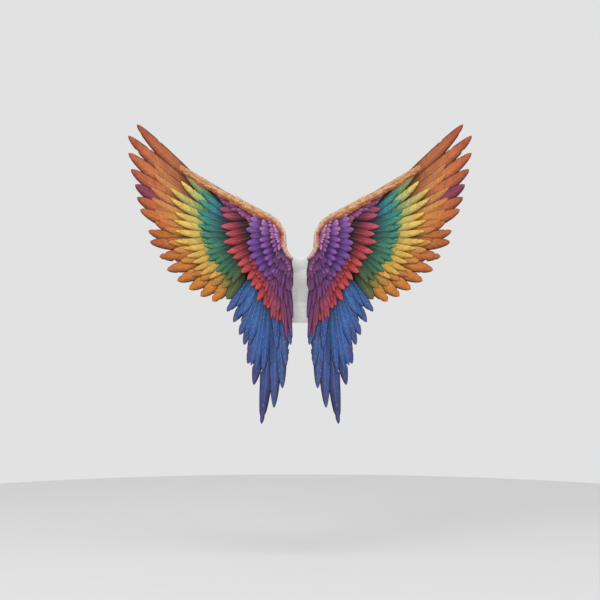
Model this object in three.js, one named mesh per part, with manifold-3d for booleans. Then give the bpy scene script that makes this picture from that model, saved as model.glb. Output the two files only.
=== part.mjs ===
import * as THREE from 'three';
import { mergeVertices } from 'three/addons/utils/BufferGeometryUtils.js';
import Module from 'manifold-3d';

// Wearable feather wings. X is the span, Z is up, the wearer stands on the +Y side.
// The origin is the middle of the back pad's rear face. All sizes are in millimetres.
const wasm = await Module();
wasm.setup();

const clearance = 0.3;

// Back pad and plate
const padHalfWidth = 42;
const padHalfHeight = 85;
const padThickness = 16;
const plateHalfWidth = 72;
const plateHalfHeight = 92;
const plateThickness = 5;
const cornerRadius = 12;

// Hinge
const hingeX = 34;
const hingeStandoff = 12.7; // pin centre in front of the plate
const pinRadius = 3;
const knuckleRadius = 6.5;
const knuckleCount = 5;
const hingeHeight = 120;
const leafThickness = 3;
const leafWidth = 42;
const leafGap = 1.5; // leaf plate to the bracket's knuckles
const bracketWidth = 40;
const bracketThickness = 3;
const bracketOffset = 6; // middle of the bracket outboard of the pin
const boreClearance = 0.45;
const leafSetback = 1; // leaf front face behind the pin centre
const knobRadius = 5.5;
const knobHeight = 12;
const knobChamfer = 2;
const pinTail = 3; // pin below the lowest knuckle
const pinNeck = 1; // pin between the top knuckle and the knob
const pinChamfer = 1;
const screwRadius = 2;
const screwHeadRadius = 4;
const screwHeadHeight = 2;
const screwX = 50;
const screwZ = 35;

// Straps
const strapX = 57.5;
const strapWidth = 25;
const strapThickness = 1.6;
const strapReach = 122; // how far the loop stands behind the pad face
const strapRise = 138;
const strapLead = 25; // how far the curve leans back as it leaves the plate
const strapCurl = 0.9; // share of the rise held straight up from the plate
const strapShoulder = 0.8; // roundness of the far side of the loop
const strapStraight = 70; // half the straight stretch that the adjuster runs on
const anchorZ = 72;
const anchorHeight = 24;
const anchorThickness = 2;
const anchorOverhang = 2; // past each edge of the webbing
const anchorEndMargin = 2; // webbing left showing past each end of the anchor
const adjusterWall = 2.2;
const adjusterHeight = 22;
const adjusterPlay = 0.4;

// Frame of each wing
const sparRadius = 3.5;
const ribRadius = 2;
const backingThickness = 2;
const featherThickness = 1.5;
const sparRoute = [[62, 30], [64, 120], [106, 192], [190, 240], [285, 292], [325, 316]];
const ribRoutes = [
  [[76, 46], [200, 175], [325, 262]],
  [[76, 22], [200, 125], [312, 180]],
  [[76, 0], [165, 60], [245, 85]],
  [[76, -26], [98, -70], [112, -125]],
];
const backingOutline = [
  [50, 20], [52, 130], [92, 190], [184, 244], [320, 318], [340, 280],
  [320, 175], [250, 70], [165, 20], [125, -120], [85, -170], [52, -110],
];
const edgeBandRoute = [[27, 78], [43, 118], [50, 168], [80, 194], [150, 238], [250, 293], [340, 355]];
const edgeBandWidth = 20;

// Fineness of the round shapes
const roundSides = 16;
const turnedSides = 20;
const strapSteps = 7;
const sparSteps = 20;
const ribSteps = 6;
const backingSteps = 36;
const edgeSteps = 24;

// Each tier is a fan: feathers lie between the root and tip reaches, at angles from the +X side.
const wristCentre = [120, 155];
const tiers = [
  { name: 'primary_feathers', colour: 0xb0553f, count: 9, centre: wristCentre, width: 36, bow: 0.05,
    angles: [42, 3], anglePower: 1, root: 120, tips: [455, 382, 324], middleAt: 0.5 },
  { name: 'secondary_feathers', colour: 0xd07d48, count: 7, centre: wristCentre, width: 42, bow: 0.05,
    angles: [-4, -65], anglePower: 1, root: 90, tips: [288, 246, 205], middleAt: 0.5 },
  { name: 'tertial_feathers', colour: 0x4470b5, count: 11, centre: [85, 99], width: 28, bow: 0.02,
    angles: [-54, -106], anglePower: 0.8, root: 44, tips: [205, 475, 205], middleAt: 0.6 },
  { name: 'greater_coverts', colour: 0xd9b45c, count: 13, centre: wristCentre, width: 26, bow: 0.04,
    angles: [39, -40], anglePower: 1, root: 75, tips: [284, 205, 185], middleAt: 0.55 },
  { name: 'median_coverts', colour: 0x5a9275, count: 9, centre: wristCentre, width: 26, bow: 0.03,
    angles: [12, -62], anglePower: 1, root: 60, tips: [150, 146, 150], middleAt: 0.5 },
  { name: 'red_coverts', colour: 0xc4505a, count: 17, centre: [85, 130], width: 20, bow: 0.03,
    angles: [42, -100], anglePower: 1, root: 46, tips: [170, 112, 262], middleAt: 0.42 },
  { name: 'plum_scapulars', colour: 0x8a4a7a, count: 6, centre: [55, 150], width: 18, bow: 0,
    angles: [-80, -96], anglePower: 1, root: 80, tips: [150, 210, 285], middleAt: 0.5 },
  { name: 'purple_coverts', colour: 0x7a50a0, count: 10, centre: [60, 130], width: 21, bow: 0.02,
    angles: [48, -80], anglePower: 1, root: 24, tips: [92, 82, 94], middleAt: 0.5 },
  { name: 'lesser_coverts', colour: 0xb070b8, count: 9, centre: [50, 140], width: 17, bow: 0,
    angles: [45, -100], anglePower: 1, root: 14, tips: [60, 55, 118], middleAt: 0.5 },
];

const finishes = {
  white: { color: 0xeeeeea, roughness: 0.6, metalness: 0 },
  steel: { color: 0xb8bcc0, roughness: 0.35, metalness: 1 },
  webbing: { color: 0xefece6, roughness: 0.95, metalness: 0 },
  cloth: { color: 0x4a2238, roughness: 0.95, metalness: 0 },
  peach: { color: 0xdca584, roughness: 0.85, metalness: 0 },
};
const featherRoughness = 0.8;

// Depths, counted forward from the pad's rear face
const plateRear = padThickness + clearance;
const plateFront = plateRear + plateThickness;
const bracketRear = plateFront + clearance;
const pinDepth = plateFront + hingeStandoff;
const leafFront = pinDepth - leafSetback;
const sparDepth = leafFront + clearance + sparRadius;
const backingRear = sparDepth + sparRadius + clearance;
const ribDepth = backingRear - clearance - ribRadius;
const firstTierRear = backingRear + backingThickness + clearance;
const tierPitch = featherThickness + clearance;

function solid(geometry) {
  const bare = geometry.clone();
  bare.deleteAttribute('normal');
  bare.deleteAttribute('uv');
  const merged = mergeVertices(bare, 1e-4);
  const vertProperties = new Float32Array(merged.attributes.position.array);
  const triVerts = new Uint32Array(merged.index.array);
  return new wasm.Manifold(new wasm.Mesh({ numProp: 3, vertProperties, triVerts }));
}

function geometryOf(manifold) {
  const mesh = manifold.getMesh();
  const geometry = new THREE.BufferGeometry();
  geometry.setAttribute('position', new THREE.BufferAttribute(new Float32Array(mesh.vertProperties), 3));
  geometry.setIndex([...mesh.triVerts]);
  geometry.computeVertexNormals();
  return geometry;
}

function united(geometries) {
  return geometryOf(geometries.map(solid).reduce((whole, piece) => whole.add(piece)));
}

function cut(geometry, tools) {
  return geometryOf(tools.map(solid).reduce((whole, tool) => whole.subtract(tool), solid(geometry)));
}

function mirrored(geometry) {
  const copy = mergeVertices(geometry.clone().scale(-1, 1, 1));
  const index = copy.index.array;
  for (let i = 0; i < index.length; i += 3) {
    const first = index[i];
    index[i] = index[i + 1];
    index[i + 1] = first;
  }
  return copy;
}

// A flat outline in X and Z, with its rear face at the given depth.
function slab(shape, rearDepth, thickness) {
  const options = { depth: thickness, bevelEnabled: false, curveSegments: 2 };
  const geometry = new THREE.ExtrudeGeometry(shape, options);
  return geometry.rotateX(Math.PI / 2).translate(0, -rearDepth, 0);
}

function block(x, depth, z, width, thickness, height) {
  return new THREE.BoxGeometry(width, thickness, height).translate(x, -depth, z);
}

function upright(radius, height, x, depth, z) {
  const cylinder = new THREE.CylinderGeometry(radius, radius, height, roundSides);
  return cylinder.rotateX(Math.PI / 2).translate(x, -depth, z);
}

function roundedRectangle(halfWidth, halfHeight, radius) {
  const shape = new THREE.Shape();
  shape.moveTo(radius - halfWidth, -halfHeight);
  shape.lineTo(halfWidth - radius, -halfHeight);
  shape.absarc(halfWidth - radius, radius - halfHeight, radius, -Math.PI / 2, 0);
  shape.absarc(halfWidth - radius, halfHeight - radius, radius, 0, Math.PI / 2);
  shape.absarc(radius - halfWidth, halfHeight - radius, radius, Math.PI / 2, Math.PI);
  shape.absarc(radius - halfWidth, radius - halfHeight, radius, Math.PI, Math.PI * 1.5);
  return shape;
}

function screwHoles(depth, length) {
  const radius = screwRadius + clearance;
  return [screwZ, -screwZ].map((z) => (
    new THREE.CylinderGeometry(radius, radius, length, roundSides).translate(screwX, -depth, z)
  ));
}

function backPlate() {
  const outline = roundedRectangle(plateHalfWidth, plateHalfHeight, cornerRadius);
  const sheet = slab(outline, plateRear, plateThickness);
  const holes = screwHoles(plateRear + plateThickness / 2, plateThickness * 2);
  return cut(sheet, [...holes, ...holes.map(mirrored)]);
}

function backPad() {
  return slab(roundedRectangle(padHalfWidth, padHalfHeight, cornerRadius), 0, padThickness);
}

// Knuckles 0, 2, 4 belong to the bracket and 1, 3 to the leaf.
function knucklePlaces(parity) {
  const pitch = hingeHeight / knuckleCount;
  const places = [];
  for (let i = parity; i < knuckleCount; i += 2) {
    places.push(-hingeHeight / 2 + pitch * (i + 0.5));
  }
  return places;
}

function pinBore() {
  return upright(pinRadius + boreClearance, hingeHeight * 2, hingeX, pinDepth, 0);
}

function hingeBracket() {
  const height = hingeHeight / knuckleCount - clearance;
  const middleDepth = bracketRear + bracketThickness / 2;
  const base = block(hingeX + bracketOffset, middleDepth, 0, bracketWidth, bracketThickness, hingeHeight);
  const webDepth = pinDepth - bracketRear;
  const pieces = knucklePlaces(0).flatMap((z) => [
    upright(knuckleRadius, height, hingeX, pinDepth, z),
    block(hingeX, bracketRear + webDepth / 2, z, knuckleRadius, webDepth, height),
  ]);
  const holes = screwHoles(middleDepth, bracketThickness * 2);
  return cut(united([base, ...pieces]), [pinBore(), ...holes]);
}

function hingeLeaf() {
  const height = hingeHeight / knuckleCount - clearance;
  const start = hingeX + knuckleRadius + leafGap;
  const middleDepth = leafFront - leafThickness / 2;
  const tabLength = start - hingeX;
  const plate = block(start + leafWidth / 2, middleDepth, 0, leafWidth, leafThickness, hingeHeight);
  const pieces = knucklePlaces(1).flatMap((z) => [
    upright(knuckleRadius, height, hingeX, pinDepth, z),
    block(hingeX + pinRadius + tabLength / 2, middleDepth, z, tabLength, leafThickness, height),
  ]);
  return cut(united([plate, ...pieces]), [pinBore()]);
}

function hingePin() {
  const foot = -hingeHeight / 2 - pinTail;
  const neck = hingeHeight / 2 + pinNeck;
  const top = neck + knobHeight;
  const profile = [
    [0, foot], [pinRadius, foot + pinChamfer], [pinRadius, neck], [knobRadius, neck],
    [knobRadius, top - knobChamfer], [knobRadius - knobChamfer, top], [0, top],
  ].map(([r, z]) => new THREE.Vector2(r, z));
  return new THREE.LatheGeometry(profile, turnedSides).rotateX(Math.PI / 2).translate(hingeX, -pinDepth, 0);
}

function bracketScrew(z) {
  const bracketFront = bracketRear + bracketThickness;
  const headFront = bracketFront + clearance + screwHeadHeight;
  const profile = [
    [0, -plateRear], [screwRadius, -plateRear], [screwRadius, -bracketFront - clearance],
    [screwHeadRadius, -bracketFront - clearance], [screwHeadRadius, -headFront], [0, -headFront],
  ].reverse().map(([r, y]) => new THREE.Vector2(r, y));
  return new THREE.LatheGeometry(profile, roundSides).translate(screwX, 0, z);
}

function strapCentreline() {
  const flat = strapRear();
  const half = new THREE.Path();
  half.moveTo(flat, anchorZ - anchorHeight / 2);
  half.lineTo(flat, anchorZ + anchorHeight / 2);
  half.bezierCurveTo(flat, strapRise * strapCurl, flat + strapLead, strapRise, strapReach / 2, strapRise);
  half.bezierCurveTo(strapReach * strapShoulder, strapRise, strapReach, strapRise * strapShoulder,
    strapReach, strapStraight);
  const upper = half.getPoints(strapSteps);
  const lower = upper.map((point) => new THREE.Vector2(point.x, -point.y)).reverse();
  return [...upper, ...lower];
}

function strapRear() {
  return -plateRear + clearance + strapThickness / 2;
}

// The strap is a flat ribbon: its centreline in Y and Z, thickened both ways and made as wide as the webbing.
function shoulderStrap() {
  const line = strapCentreline();
  const sides = [1, -1].map((side) => line.map((point, i) => {
    const before = line[Math.max(i - 1, 0)];
    const after = line[Math.min(i + 1, line.length - 1)];
    const along = after.clone().sub(before).normalize();
    return new THREE.Vector2(point.x - along.y * side * strapThickness / 2,
      point.y + along.x * side * strapThickness / 2);
  }));
  const shape = new THREE.Shape([...sides[0], ...sides[1].reverse()]);
  const ribbon = new THREE.ExtrudeGeometry(shape, { depth: strapWidth, bevelEnabled: false });
  const turn = new THREE.Matrix4().set(0, 0, 1, strapX - strapWidth / 2, 1, 0, 0, 0, 0, 1, 0, 0, 0, 0, 0, 1);
  return ribbon.applyMatrix4(turn);
}

function strapAnchor(z) {
  const front = strapRear() + strapThickness / 2 + clearance;
  return block(strapX, -(front + anchorThickness / 2), z, strapWidth + anchorOverhang * 2,
    anchorThickness, anchorHeight - anchorEndMargin * 2);
}

function strapAdjuster() {
  const slotWidth = strapWidth + adjusterPlay * 2;
  const slotDepth = strapThickness + adjusterPlay * 2;
  const outside = block(strapX, -strapReach, 0, slotWidth + adjusterWall * 2,
    slotDepth + adjusterWall * 2, adjusterHeight);
  return cut(outside, [block(strapX, -strapReach, 0, slotWidth, slotDepth, adjusterHeight * 2)]);
}

function rod(route, radius, depth, steps) {
  const points = route.map(([x, z]) => new THREE.Vector3(x, -depth, z));
  const section = new THREE.Shape();
  section.absarc(0, 0, radius, 0, Math.PI * 2);
  const path = new THREE.CatmullRomCurve3(points);
  const options = { extrudePath: path, steps, curveSegments: 4, bevelEnabled: false };
  return new THREE.ExtrudeGeometry(section, options);
}

function backingPanel() {
  const points = backingOutline.map(([x, z]) => new THREE.Vector3(x, z, 0));
  const curve = new THREE.CatmullRomCurve3(points, true);
  return slab(new THREE.Shape(curve.getPoints(backingSteps).slice(0, -1)), backingRear, backingThickness);
}

// A tape of even width along points in X and Z.
function tape(points, width) {
  const sides = [1, -1].map((side) => points.map((point, i) => {
    const before = points[Math.max(i - 1, 0)];
    const after = points[Math.min(i + 1, points.length - 1)];
    const along = after.clone().sub(before).normalize();
    return new THREE.Vector2(point.x - along.y * side * width / 2, point.y + along.x * side * width / 2);
  }));
  return new THREE.Shape([...sides[0], ...sides[1].reverse()]);
}

function fanReach(tier, t) {
  const [first, middle, last] = tier.tips;
  if (t < tier.middleAt) {
    return THREE.MathUtils.lerp(first, middle, t / tier.middleAt);
  }
  return THREE.MathUtils.lerp(middle, last, (t - tier.middleAt) / (1 - tier.middleAt));
}

function fanPoint(tier, angle, reach) {
  const [x, z] = tier.centre;
  return new THREE.Vector2(x + Math.cos(angle) * reach, z + Math.sin(angle) * reach);
}

function fanAngle(tier, t) {
  const [first, last] = tier.angles;
  return THREE.MathUtils.degToRad(first + (last - first) * t ** tier.anglePower);
}

// Half-widths along a vane, as shares of its length and of half its width.
const vane = [[0, 0.45], [0.6, 1], [0.9, 0.75]];

function featherShape(root, tip, width, bow) {
  const along = tip.clone().sub(root);
  const across = new THREE.Vector2(-along.y, along.x).normalize();
  const at = (s, side) => root.clone().addScaledVector(along, s)
    .addScaledVector(across, side * width / 2 - bow * along.length() * 4 * s * (1 - s));
  const upper = vane.map(([s, share]) => at(s, share));
  const lower = vane.map(([s, share]) => at(s, -share)).reverse();
  return new THREE.Shape([...upper, tip, ...lower]);
}

function featherTier(tier, rearDepth) {
  const roots = [];
  const vanes = [];
  for (let i = 0; i < tier.count; i += 1) {
    const t = i / (tier.count - 1);
    const angle = fanAngle(tier, t);
    const root = fanPoint(tier, angle, tier.root);
    roots.push(root);
    const tip = fanPoint(tier, angle, fanReach(tier, t));
    vanes.push(slab(featherShape(root, tip, tier.width, tier.bow), rearDepth, featherThickness));
  }
  const rootTape = slab(tape(roots, tier.width / 2), rearDepth, featherThickness);
  return united([rootTape, ...vanes]);
}

function edgeBand(rearDepth) {
  const curve = new THREE.SplineCurve(edgeBandRoute.map(([x, z]) => new THREE.Vector2(x, z)));
  return slab(tape(curve.getPoints(edgeSteps), edgeBandWidth), rearDepth, featherThickness);
}

function named(name, geometry, finish) {
  const mesh = new THREE.Mesh(geometry, new THREE.MeshStandardMaterial(finish));
  mesh.name = name;
  return mesh;
}

function pair(group, name, geometry, finish) {
  group.right.add(named(`right_${name}`, geometry, finish));
  group.left.add(named(`left_${name}`, mirrored(geometry), finish));
}

function buildHarness() {
  const harness = new THREE.Group();
  const both = { left: harness, right: harness };
  harness.add(named('back_plate', backPlate(), finishes.white));
  harness.add(named('back_pad', backPad(), finishes.webbing));
  pair(both, 'hinge_bracket', hingeBracket(), finishes.steel);
  pair(both, 'hinge_pin', hingePin(), finishes.steel);
  pair(both, 'shoulder_strap', shoulderStrap(), finishes.webbing);
  pair(both, 'strap_adjuster', strapAdjuster(), finishes.white);
  for (const [place, side] of [['upper', 1], ['lower', -1]]) {
    pair(both, `${place}_strap_anchor`, strapAnchor(side * anchorZ), finishes.white);
    pair(both, `${place}_bracket_screw`, bracketScrew(side * screwZ), finishes.steel);
  }
  return harness;
}

function buildWings() {
  const wings = { left: new THREE.Group(), right: new THREE.Group() };
  pair(wings, 'hinge_leaf', hingeLeaf(), finishes.steel);
  pair(wings, 'wing_spar', rod(sparRoute, sparRadius, sparDepth, sparSteps), finishes.white);
  ribRoutes.forEach((route, i) => {
    pair(wings, `wing_rib_${i + 1}`, rod(route, ribRadius, ribDepth, ribSteps), finishes.white);
  });
  pair(wings, 'backing_panel', backingPanel(), finishes.cloth);
  tiers.forEach((tier, i) => {
    const finish = { color: tier.colour, roughness: featherRoughness, metalness: 0 };
    pair(wings, tier.name, featherTier(tier, firstTierRear + i * tierPitch), finish);
  });
  pair(wings, 'edge_coverts', edgeBand(firstTierRear + tiers.length * tierPitch), finishes.peach);
  return wings;
}

const model = new THREE.Group();
const wings = buildWings();
model.add(buildHarness(), wings.left, wings.right);
export default model;
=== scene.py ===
import math

import bmesh
import bpy
import numpy as np
from mathutils import Matrix, Vector
from mathutils.bvhtree import BVHTree
from mathutils.geometry import delaunay_2d_cdt


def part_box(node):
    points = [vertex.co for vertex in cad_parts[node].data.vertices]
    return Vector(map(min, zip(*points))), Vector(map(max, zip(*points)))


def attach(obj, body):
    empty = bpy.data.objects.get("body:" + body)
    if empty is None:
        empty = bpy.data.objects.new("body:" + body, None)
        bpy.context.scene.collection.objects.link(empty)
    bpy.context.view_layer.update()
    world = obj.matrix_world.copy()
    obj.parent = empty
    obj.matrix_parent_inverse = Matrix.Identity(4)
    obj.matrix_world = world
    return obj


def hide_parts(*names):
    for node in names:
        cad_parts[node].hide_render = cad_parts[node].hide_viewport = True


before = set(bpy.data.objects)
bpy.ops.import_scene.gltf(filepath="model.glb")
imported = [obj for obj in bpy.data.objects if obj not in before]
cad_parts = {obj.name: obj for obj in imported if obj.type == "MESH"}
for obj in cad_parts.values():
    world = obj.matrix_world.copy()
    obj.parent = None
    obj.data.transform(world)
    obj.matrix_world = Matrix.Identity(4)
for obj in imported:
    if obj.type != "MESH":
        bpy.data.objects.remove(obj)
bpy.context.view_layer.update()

mm = 0.001
sides = {"right": 1, "left": -1}
scene = bpy.context.scene


# Shader maths: a socket that can be added, multiplied and so on
class Wire:
    def __init__(self, finish, socket):
        self.finish = finish
        self.socket = socket

    def maths(self, operation, *values):
        return self.finish.node("ShaderNodeMath", {"operation": operation}, dict(enumerate(values)))

    def __add__(self, other):
        return self.maths("ADD", self, other)

    def __radd__(self, other):
        return self.maths("ADD", other, self)

    def __sub__(self, other):
        return self.maths("SUBTRACT", self, other)

    def __rsub__(self, other):
        return self.maths("SUBTRACT", other, self)

    def __mul__(self, other):
        return self.maths("MULTIPLY", self, other)

    def __rmul__(self, other):
        return self.maths("MULTIPLY", other, self)

    def __abs__(self):
        return self.maths("ABSOLUTE", self)

    def sine(self):
        return self.maths("SINE", self)

    def between(self, low, high):
        return self.finish.node("ShaderNodeMapRange", {"interpolation_type": "SMOOTHSTEP"},
                                {"Value": self, "From Min": low, "From Max": high})


class Finish:
    def __init__(self, name, roughness=0.7, metallic=0.0, sheen=0.0):
        self.material = bpy.data.materials.new(name)
        self.material.use_nodes = True
        self.tree = self.material.node_tree
        self.shader = self.tree.nodes["Principled BSDF"]
        self.set("Roughness", roughness)
        self.set("Metallic", metallic)
        self.set("Sheen Weight", sheen)

    def feed(self, socket, value):
        if isinstance(value, Wire):
            self.tree.links.new(value.socket, socket)
        else:
            socket.default_value = value

    def node(self, kind, settings, inputs, output=0):
        made = self.tree.nodes.new(kind)
        for key, value in settings.items():
            setattr(made, key, value)
        for key, value in inputs.items():
            self.feed(made.inputs[key], value)
        return Wire(self, made.outputs[output])

    def attribute(self, name, output):
        return self.node("ShaderNodeAttribute", {"attribute_name": name}, {}, output)

    def parts(self, vector):
        split = self.node("ShaderNodeSeparateXYZ", {}, {"Vector": vector}).socket.node
        return [Wire(self, split.outputs[i]) for i in range(3)]

    def blend(self, factor, first, second, mode="MIX"):
        # sockets 6 and 7 are the colours of a Mix node, and output 2 is its colour result
        return self.node("ShaderNodeMix", {"data_type": "RGBA", "blend_type": mode},
                         {0: factor, 6: first, 7: second}, 2)

    def noise(self, vector, scale, detail=3.0):
        return self.node("ShaderNodeTexNoise", {}, {"Vector": vector, "Scale": scale, "Detail": detail})

    def joined(self, x, y, z):
        return self.node("ShaderNodeCombineXYZ", {}, {0: x, 1: y, 2: z})

    def bump(self, height, strength, distance):
        return self.node("ShaderNodeBump", {}, {"Height": height, "Strength": strength, "Distance": distance})

    def set(self, name, value):
        self.feed(self.shader.inputs[name], value)


def paint(hexColour):
    shares = [int(hexColour[i:i + 2], 16) / 255 for i in (0, 2, 4)]
    return [c / 12.92 if c < 0.04045 else ((c + 0.055) / 1.055) ** 2.4 for c in shares]


def rgba(hexColour):
    return (*paint(hexColour), 1.0)


def circle(radius, facets):
    turns = [2 * math.pi * k / facets for k in range(facets)]
    return [(radius * math.cos(a), radius * math.sin(a)) for a in turns]


# Finishes
featherLook = {
    "slant": 1.3, "streakScale": 300.0, "cloudScale": 28.0, "speckScale": 420.0, "barbPitch": 2.2 * mm,
    "roughness": 0.62, "sheen": 0.06, "shine": 0.3, "bump": 0.35, "bumpDepth": 0.6 * mm,
    "edge": 0.85, "root": 0.92, "underShade": 0.62, "tip": 0.3,      # how strong each layer of colour is: painted shade at the edges, roots and lower sides, a painted highlight at the tips
    "darkBarbs": 0.36, "barbHighlights": 0.5, "cloud": 0.3, "quill": 0.14,
    "specks": {"tertial_feathers": 0.5}, "shade": {"edge_coverts": 0.35},
}


def featherFinish(name):
    look = featherLook
    shade = look["shade"].get(name, 1)
    specks = look["specks"].get(name, 0)
    f = Finish(name, look["roughness"], sheen=look["sheen"])
    f.set("Specular IOR Level", look["shine"])
    along, across, seed = f.parts(f.attribute("vanePlace", 1))
    share, sideways, signed = f.parts(f.attribute("vaneShare", 1))
    barb = along - abs(across) * look["slant"]
    streak = f.noise(f.joined(barb, across * 0.12, seed), look["streakScale"])
    cloud = f.noise(f.joined(along, across, seed), look["cloudScale"])
    shaded = f.attribute("vaneTint", 0)
    for mask, colour, mode in (
        # painted shade: the vane's edges darkened for the shadowed gaps between neighbouring feathers
        (sideways.between(0.7, 1.0) * (look["edge"] * shade), "3c2028", "MULTIPLY"),
        # painted shade: the root end darkened where the row in front covers it
        ((1 - share.between(0.1, 0.8)) * (look["root"] * shade), "3c2438", "MULTIPLY"),
        # painted highlight: the tip end lightened
        (share.between(0.78, 1.0) * look["tip"], "ffe6d0", "SOFT_LIGHT"),
        # painted shadow: the lower side darkened where the neighbouring feather overlaps it
        ((-0.05 - signed).between(0.0, 0.9) * (look["underShade"] * shade), "5c2824", "MULTIPLY"),
        ((0.5 - streak).between(0.0, 0.14) * look["darkBarbs"], "6a3c40", "MULTIPLY"),
        # painted highlights: pale streaks along the barbs
        ((streak - 0.54).between(0.0, 0.14) * look["barbHighlights"], "fff4e0", "SOFT_LIGHT"),
        (cloud.between(0.45, 0.75) * look["cloud"], "ffe2b8", "SOFT_LIGHT"),
    ):
        shaded = f.blend(mask, shaded, rgba(colour), mode)
    if specks:
        dots = f.noise(f.joined(along, across, seed), look["speckScale"], 0.0).between(0.76, 0.84)
        shaded = f.blend(dots * specks, shaded, rgba("cfe4ff"))
    quill = (1 - sideways.between(0.0, 0.09)) * (1 - share.between(0.75, 1.0)) * look["quill"]
    f.set("Base Color", f.blend(quill, shaded, rgba("e8c0a8")))
    f.set("Roughness", streak * 0.3 + (look["roughness"] - 0.12))
    barbTurns = 2 * math.pi / look["barbPitch"]
    f.set("Normal", f.bump((barb * barbTurns).sine() * 0.5 + streak, look["bump"], look["bumpDepth"]))
    return f.material


clothLook = {"roughness": 0.85, "sheen": 0.3, "shade": "6a6066", "mottle": 0.14, "weave": 0.12,
             "mottleScale": 60.0, "foldScale": 20.0}


def wovenFinish(name, colour, threads, depth, folds=0.0, drift=0.14):
    look = clothLook
    f = Finish(name, look["roughness"], sheen=look["sheen"])
    x, y, z = f.parts(f.node("ShaderNodeTexCoord", {}, {}, 3))
    turns = 2 * math.pi / threads
    weave = ((x + y) * turns).sine() * ((z + y) * turns).sine()
    mottle = f.noise(f.joined(x, y, z), look["mottleScale"])
    broad = f.noise(f.joined(x, y, z * 0.5), look["foldScale"], 1.0)      # folds run more up than across
    shade = rgba(look["shade"])
    darker = mottle.between(0.3, 0.75) * look["mottle"] + weave * look["weave"]
    worn = f.blend(darker, rgba(colour), shade, "MULTIPLY")
    f.set("Base Color", f.blend(broad.between(0.35, 0.7) * drift, worn, shade, "MULTIPLY"))
    f.set("Roughness", mottle * 0.2 + 0.72)
    f.set("Normal", f.bump(weave * depth + mottle * (0.6 * depth) + broad * folds, 0.5, 1.0))
    return f.material


hardLook = {"wearScale": 35.0, "shade": "8a8884", "wear": 0.14, "bump": 0.12, "bumpDepth": 0.2 * mm}


def hardFinish(name, colour, roughness, metallic, grain, coat=0.0):
    f = Finish(name, roughness, metallic)
    place = f.node("ShaderNodeTexCoord", {}, {}, 3)
    fine = f.noise(place, grain, 4.0)
    wear = f.noise(place, hardLook["wearScale"]).between(0.45, 0.8) * hardLook["wear"]
    f.set("Base Color", f.blend(wear, rgba(colour), rgba(hardLook["shade"]), "MULTIPLY"))
    f.set("Roughness", fine * 0.25 + (roughness - 0.1))
    f.set("Normal", f.bump(fine, hardLook["bump"], hardLook["bumpDepth"]))
    f.set("Coat Weight", coat)
    return f.material


finishes = {
    "steel": hardFinish("brushedSteel", "b8bcc0", 0.32, 1.0, 900.0),
    "white_plastic": hardFinish("whitePlastic", "f8f8f6", 0.45, 0.0, 1400.0, 0.1),
    "painted_wire": hardFinish("whiteWire", "e4e2dd", 0.4, 0.0, 700.0, 0.2),
    "pad_fabric": wovenFinish("padKnit", "dedad2", 2.4 * mm, 0.5 * mm, 2 * mm),
    "webbing": wovenFinish("strapWebbing", "efece6", 1.8 * mm, 0.4 * mm),
    "backing_fabric": wovenFinish("backingCloth", "4a2238", 1.6 * mm, 0.3 * mm, 9 * mm, 0.5),
    "thread": wovenFinish("paleThread", "988e82", 0.5 * mm, 0.1 * mm),
    "wineThread": wovenFinish("wineThread", "c080a0", 0.5 * mm, 0.1 * mm),
    "tape": wovenFinish("wireTape", "6e3a58", 1.2 * mm, 0.3 * mm),
}
print("finishes ready")


def settle(piece, body, slot, *nodes, finish=None):
    # a piece wears its slot's own finish unless another is given
    piece.data.materials.clear()
    piece.data.materials.append(finish or finishes[slot])
    for face in piece.data.polygons:
        face.use_smooth = True
    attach(piece, body)
    if nodes:
        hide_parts(*nodes)
    return piece


def meshPiece(name, points, faces):
    mesh = bpy.data.meshes.new(name)
    mesh.from_pydata([tuple(p) for p in points], [], [tuple(f) for f in faces])
    mesh.update()
    piece = bpy.data.objects.new(name, mesh)
    scene.collection.objects.link(piece)
    return piece


def applyModifiers(piece):
    bpy.context.view_layer.update()
    shaped = piece.evaluated_get(bpy.context.evaluated_depsgraph_get())
    mesh = bpy.data.meshes.new_from_object(shaped)
    piece.modifiers.clear()
    piece.data = mesh
    return piece


def bevelled(piece, width, angle):
    edges = piece.modifiers.new("edges", "BEVEL")
    edges.width = width
    edges.segments = 3
    edges.limit_method = "ANGLE"
    edges.angle_limit = math.radians(angle)
    edges.harden_normals = True
    return applyModifiers(piece)


def facingOut(piece):
    shaped = bmesh.new()
    shaped.from_mesh(piece.data)
    bmesh.ops.recalc_face_normals(shaped, faces=shaped.faces)
    shaped.to_mesh(piece.data)
    shaped.free()
    return piece


def ringFaces(first, rings, facets):
    # the quads between rings of points, each ring closed on itself
    return [(low + k, low + (k + 1) % facets, low + facets + (k + 1) % facets, low + facets + k)
            for low in range(first, first + (rings - 1) * facets, facets) for k in range(facets)]


def walked(line):
    # how far along a line each of its points lies
    return np.concatenate(([0], np.cumsum(np.linalg.norm(np.diff(line, axis=0), axis=1))))


def pointAt(line, walk, at):
    return np.array([np.interp(at, walk, line[:, axis]) for axis in range(line.shape[1])])


def curvePoint(p, s):
    # a smooth curve's point between the middle two of four points
    return 0.5 * (2 * p[1] + (p[2] - p[0]) * s + (2 * p[0] - 5 * p[1] + 4 * p[2] - p[3]) * s ** 2
                  + (3 * p[1] - p[0] - 3 * p[2] + p[3]) * s ** 3)


def splinePoint(route, t):
    last = len(route) - 1
    i = min(int(t * last), last - 1)
    return curvePoint([np.array(route[min(max(i + j, 0), last)], float) for j in range(-1, 3)], t * last - i)


def loopPoint(route, t):
    n = len(route)
    i = int(t * n)
    return curvePoint([np.array(route[(i + j) % n], float) for j in range(-1, 3)], t * n - i)


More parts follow.
